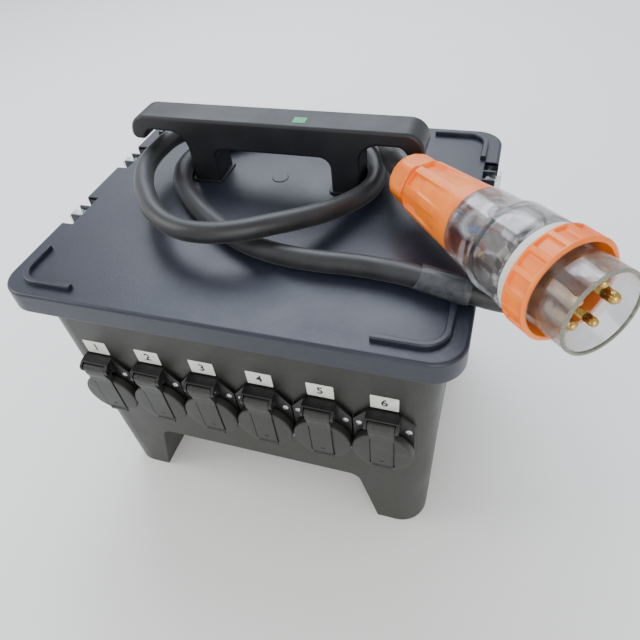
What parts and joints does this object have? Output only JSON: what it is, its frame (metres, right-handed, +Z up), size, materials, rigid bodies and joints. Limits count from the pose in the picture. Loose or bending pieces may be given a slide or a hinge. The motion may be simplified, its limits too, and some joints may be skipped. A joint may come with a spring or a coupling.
{
  "type": "portable power distribution box",
  "caption": "Free-standing outlet box with a carry handle, sprung flip covers, hinged clear side windows over breakers, and a supply cable with a round plug.",
  "frame": {"origin": "middle of the footprint, on the ground", "axes": "+Z up; the front row of outlets faces -Y; +X is to the right when facing the front, on the side the cable enters"},
  "size_m": [0.4818, 0.3324, 0.3755],
  "materials": {
    "tub_plastic": "moulded black polypropylene, fine grain",
    "lid_plastic": "moulded black polypropylene, fine grain",
    "handle_plastic": "moulded black nylon",
    "gasket_foam": "soft foam strip",
    "fastener_steel": "zinc plated",
    "sticker_green": "plain coated film",
    "label_film": "plain white film",
    "socket_plastic": "moulded black polyamide",
    "cover_plastic": "moulded grey polyamide",
    "spring_steel": "drawn wire",
    "window_clear": "clear polycarbonate",
    "rail_steel": "zinc plated",
    "breaker_plastic": "light grey thermoset",
    "toggle_plastic": "black",
    "button_plastic": "amber",
    "copper_wire": "PVC insulated cores",
    "gland_plastic": "polyamide",
    "cable_rubber": "chlorinated rubber sheath",
    "sleeve_film": "film wrap",
    "plug_orange": "moulded polyamide, satin",
    "plug_clear": "clear polycarbonate",
    "seal_rubber": "white silicone",
    "carrier_plastic": "thermoset",
    "pin_brass": "turned, nickel-free"
  },
  "bodies": {
    "box": {"body_shell": "tub_plastic", "lid_cover": "lid_plastic", "lid_gasket": "gasket_foam", "lid_screws": "fastener_steel", "carry_handle": "handle_plastic", "handle_screws": "fastener_steel", "handle_sticker": "sticker_green", "socket_bases": "socket_plastic", "socket_inserts": "socket_plastic", "socket_screws": "fastener_steel", "cover_pins": "spring_steel", "cover_springs": "spring_steel", "socket_labels": "label_film", "window_pins": "spring_steel", "din_rails": "rail_steel", "breaker_bodies": "breaker_plastic", "main_switch": "breaker_plastic", "terminal_block": "breaker_plastic", "inner_wiring": "copper_wire", "cable_gland": "gland_plastic", "gland_locknut": "gland_plastic", "strain_relief": "gland_plastic", "supply_cable": "cable_rubber", "tape_sleeve": "sleeve_film", "plug_cable_nut": "plug_orange", "plug_rear_housing": "plug_orange", "plug_clear_body": "plug_clear", "plug_seal": "seal_rubber", "plug_pin_carrier": "carrier_plastic", "plug_pins": "pin_brass", "plug_wires": "copper_wire"},
    "front_cover_1": {"front_cover_1": "cover_plastic"},
    "front_cover_2": {"front_cover_2": "cover_plastic"},
    "front_cover_3": {"front_cover_3": "cover_plastic"},
    "front_cover_4": {"front_cover_4": "cover_plastic"},
    "front_cover_5": {"front_cover_5": "cover_plastic"},
    "front_cover_6": {"front_cover_6": "cover_plastic"},
    "back_cover_1": {"back_cover_1": "cover_plastic"},
    "back_cover_2": {"back_cover_2": "cover_plastic"},
    "back_cover_3": {"back_cover_3": "cover_plastic"},
    "back_cover_4": {"back_cover_4": "cover_plastic"},
    "back_cover_5": {"back_cover_5": "cover_plastic"},
    "back_cover_6": {"back_cover_6": "cover_plastic"},
    "left_window": {"left_window": "window_clear"},
    "right_window": {"right_window": "window_clear"},
    "breaker_toggle_1": {"breaker_toggle_1": "toggle_plastic"},
    "breaker_toggle_2": {"breaker_toggle_2": "toggle_plastic"},
    "breaker_toggle_3": {"breaker_toggle_3": "toggle_plastic"},
    "breaker_toggle_4": {"breaker_toggle_4": "toggle_plastic"},
    "breaker_toggle_5": {"breaker_toggle_5": "toggle_plastic"},
    "breaker_toggle_6": {"breaker_toggle_6": "toggle_plastic"},
    "breaker_toggle_7": {"breaker_toggle_7": "toggle_plastic"},
    "breaker_toggle_8": {"breaker_toggle_8": "toggle_plastic"},
    "breaker_toggle_9": {"breaker_toggle_9": "toggle_plastic"},
    "breaker_toggle_10": {"breaker_toggle_10": "toggle_plastic"},
    "breaker_toggle_11": {"breaker_toggle_11": "toggle_plastic"},
    "breaker_toggle_12": {"breaker_toggle_12": "toggle_plastic"},
    "main_toggle": {"main_toggle": "toggle_plastic"},
    "test_button": {"test_button": "button_plastic"},
    "plug_lock_ring": {"plug_lock_ring": "plug_orange"}
  },
  "joints": [
    {"name": "front_cover_1_flip", "type": "hinge", "parent": "box", "child": "front_cover_1", "pos_m": [-0.135, -0.15756, 0.19421], "axis": [-1, 0, 0], "range_deg": [0, 120], "stiffness_Nm_per_rad": 0.03, "springref_deg": -34.38},
    {"name": "front_cover_2_flip", "type": "hinge", "parent": "box", "child": "front_cover_2", "pos_m": [-0.081, -0.15756, 0.19421], "axis": [-1, 0, 0], "range_deg": [0, 120], "stiffness_Nm_per_rad": 0.03, "springref_deg": -34.38},
    {"name": "front_cover_3_flip", "type": "hinge", "parent": "box", "child": "front_cover_3", "pos_m": [-0.027, -0.15756, 0.19421], "axis": [-1, 0, 0], "range_deg": [0, 120], "stiffness_Nm_per_rad": 0.03, "springref_deg": -34.38},
    {"name": "front_cover_4_flip", "type": "hinge", "parent": "box", "child": "front_cover_4", "pos_m": [0.027, -0.15756, 0.19421], "axis": [-1, 0, 0], "range_deg": [0, 120], "stiffness_Nm_per_rad": 0.03, "springref_deg": -34.38},
    {"name": "front_cover_5_flip", "type": "hinge", "parent": "box", "child": "front_cover_5", "pos_m": [0.081, -0.15756, 0.19421], "axis": [-1, 0, 0], "range_deg": [0, 120], "stiffness_Nm_per_rad": 0.03, "springref_deg": -34.38},
    {"name": "front_cover_6_flip", "type": "hinge", "parent": "box", "child": "front_cover_6", "pos_m": [0.135, -0.15756, 0.19421], "axis": [-1, 0, 0], "range_deg": [0, 120], "stiffness_Nm_per_rad": 0.03, "springref_deg": -34.38},
    {"name": "back_cover_1_flip", "type": "hinge", "parent": "box", "child": "back_cover_1", "pos_m": [0.135, 0.15756, 0.19421], "axis": [1, 0, 0], "range_deg": [0, 120], "stiffness_Nm_per_rad": 0.03, "springref_deg": -34.38},
    {"name": "back_cover_2_flip", "type": "hinge", "parent": "box", "child": "back_cover_2", "pos_m": [0.081, 0.15756, 0.19421], "axis": [1, 0, 0], "range_deg": [0, 120], "stiffness_Nm_per_rad": 0.03, "springref_deg": -34.38},
    {"name": "back_cover_3_flip", "type": "hinge", "parent": "box", "child": "back_cover_3", "pos_m": [0.027, 0.15756, 0.19421], "axis": [1, 0, 0], "range_deg": [0, 120], "stiffness_Nm_per_rad": 0.03, "springref_deg": -34.38},
    {"name": "back_cover_4_flip", "type": "hinge", "parent": "box", "child": "back_cover_4", "pos_m": [-0.027, 0.15756, 0.19421], "axis": [1, 0, 0], "range_deg": [0, 120], "stiffness_Nm_per_rad": 0.03, "springref_deg": -34.38},
    {"name": "back_cover_5_flip", "type": "hinge", "parent": "box", "child": "back_cover_5", "pos_m": [-0.081, 0.15756, 0.19421], "axis": [1, 0, 0], "range_deg": [0, 120], "stiffness_Nm_per_rad": 0.03, "springref_deg": -34.38},
    {"name": "back_cover_6_flip", "type": "hinge", "parent": "box", "child": "back_cover_6", "pos_m": [-0.135, 0.15756, 0.19421], "axis": [1, 0, 0], "range_deg": [0, 120], "stiffness_Nm_per_rad": 0.03, "springref_deg": -34.38},
    {"name": "left_window_swing", "type": "hinge", "parent": "box", "child": "left_window", "pos_m": [-0.1845, 0.005, 0.279], "axis": [0, 1, 0], "range_deg": [0, 90]},
    {"name": "right_window_swing", "type": "hinge", "parent": "box", "child": "right_window", "pos_m": [0.1845, 0.079, 0.279], "axis": [0, -1, 0], "range_deg": [0, 90]},
    {"name": "breaker_1_toggle", "type": "hinge", "parent": "box", "child": "breaker_toggle_1", "pos_m": [-0.17377, -0.09585, 0.215], "axis": [0, -1, 0], "range_deg": [0, 56]},
    {"name": "breaker_2_toggle", "type": "hinge", "parent": "box", "child": "breaker_toggle_2", "pos_m": [-0.17377, -0.07815, 0.215], "axis": [0, -1, 0], "range_deg": [0, 56]},
    {"name": "breaker_3_toggle", "type": "hinge", "parent": "box", "child": "breaker_toggle_3", "pos_m": [-0.17377, -0.06045, 0.215], "axis": [0, -1, 0], "range_deg": [0, 56]},
    {"name": "breaker_4_toggle", "type": "hinge", "parent": "box", "child": "breaker_toggle_4", "pos_m": [-0.17377, -0.04275, 0.215], "axis": [0, -1, 0], "range_deg": [0, 56]},
    {"name": "breaker_5_toggle", "type": "hinge", "parent": "box", "child": "breaker_toggle_5", "pos_m": [-0.17377, -0.02505, 0.215], "axis": [0, -1, 0], "range_deg": [0, 56]},
    {"name": "breaker_6_toggle", "type": "hinge", "parent": "box", "child": "breaker_toggle_6", "pos_m": [-0.17377, -0.00735, 0.215], "axis": [0, -1, 0], "range_deg": [0, 56]},
    {"name": "breaker_7_toggle", "type": "hinge", "parent": "box", "child": "breaker_toggle_7", "pos_m": [-0.17377, 0.01035, 0.215], "axis": [0, -1, 0], "range_deg": [0, 56]},
    {"name": "breaker_8_toggle", "type": "hinge", "parent": "box", "child": "breaker_toggle_8", "pos_m": [-0.17377, 0.02805, 0.215], "axis": [0, -1, 0], "range_deg": [0, 56]},
    {"name": "breaker_9_toggle", "type": "hinge", "parent": "box", "child": "breaker_toggle_9", "pos_m": [-0.17377, 0.04575, 0.215], "axis": [0, -1, 0], "range_deg": [0, 56]},
    {"name": "breaker_10_toggle", "type": "hinge", "parent": "box", "child": "breaker_toggle_10", "pos_m": [-0.17377, 0.06345, 0.215], "axis": [0, -1, 0], "range_deg": [0, 56]},
    {"name": "breaker_11_toggle", "type": "hinge", "parent": "box", "child": "breaker_toggle_11", "pos_m": [-0.17377, 0.08115, 0.215], "axis": [0, -1, 0], "range_deg": [0, 56]},
    {"name": "breaker_12_toggle", "type": "hinge", "parent": "box", "child": "breaker_toggle_12", "pos_m": [-0.17377, 0.09885, 0.215], "axis": [0, -1, 0], "range_deg": [0, 56]},
    {"name": "main_toggle_swing", "type": "hinge", "parent": "box", "child": "main_toggle", "pos_m": [0.17377, 0.079, 0.215], "axis": [0, 1, 0], "range_deg": [0, 56]},
    {"name": "test_button_press", "type": "slide", "parent": "box", "child": "test_button", "axis": [-1, 0, 0], "range_m": [0, 0.0015], "stiffness_N_per_m": 300, "springref_m": -0.0005},
    {"name": "plug_ring_turn", "type": "hinge", "parent": "box", "child": "plug_lock_ring", "pos_m": [0.23976, -0.12363, 0.33831], "axis": [0.6622, -0.7432, 0.0958], "continuous": true}
  ]
}
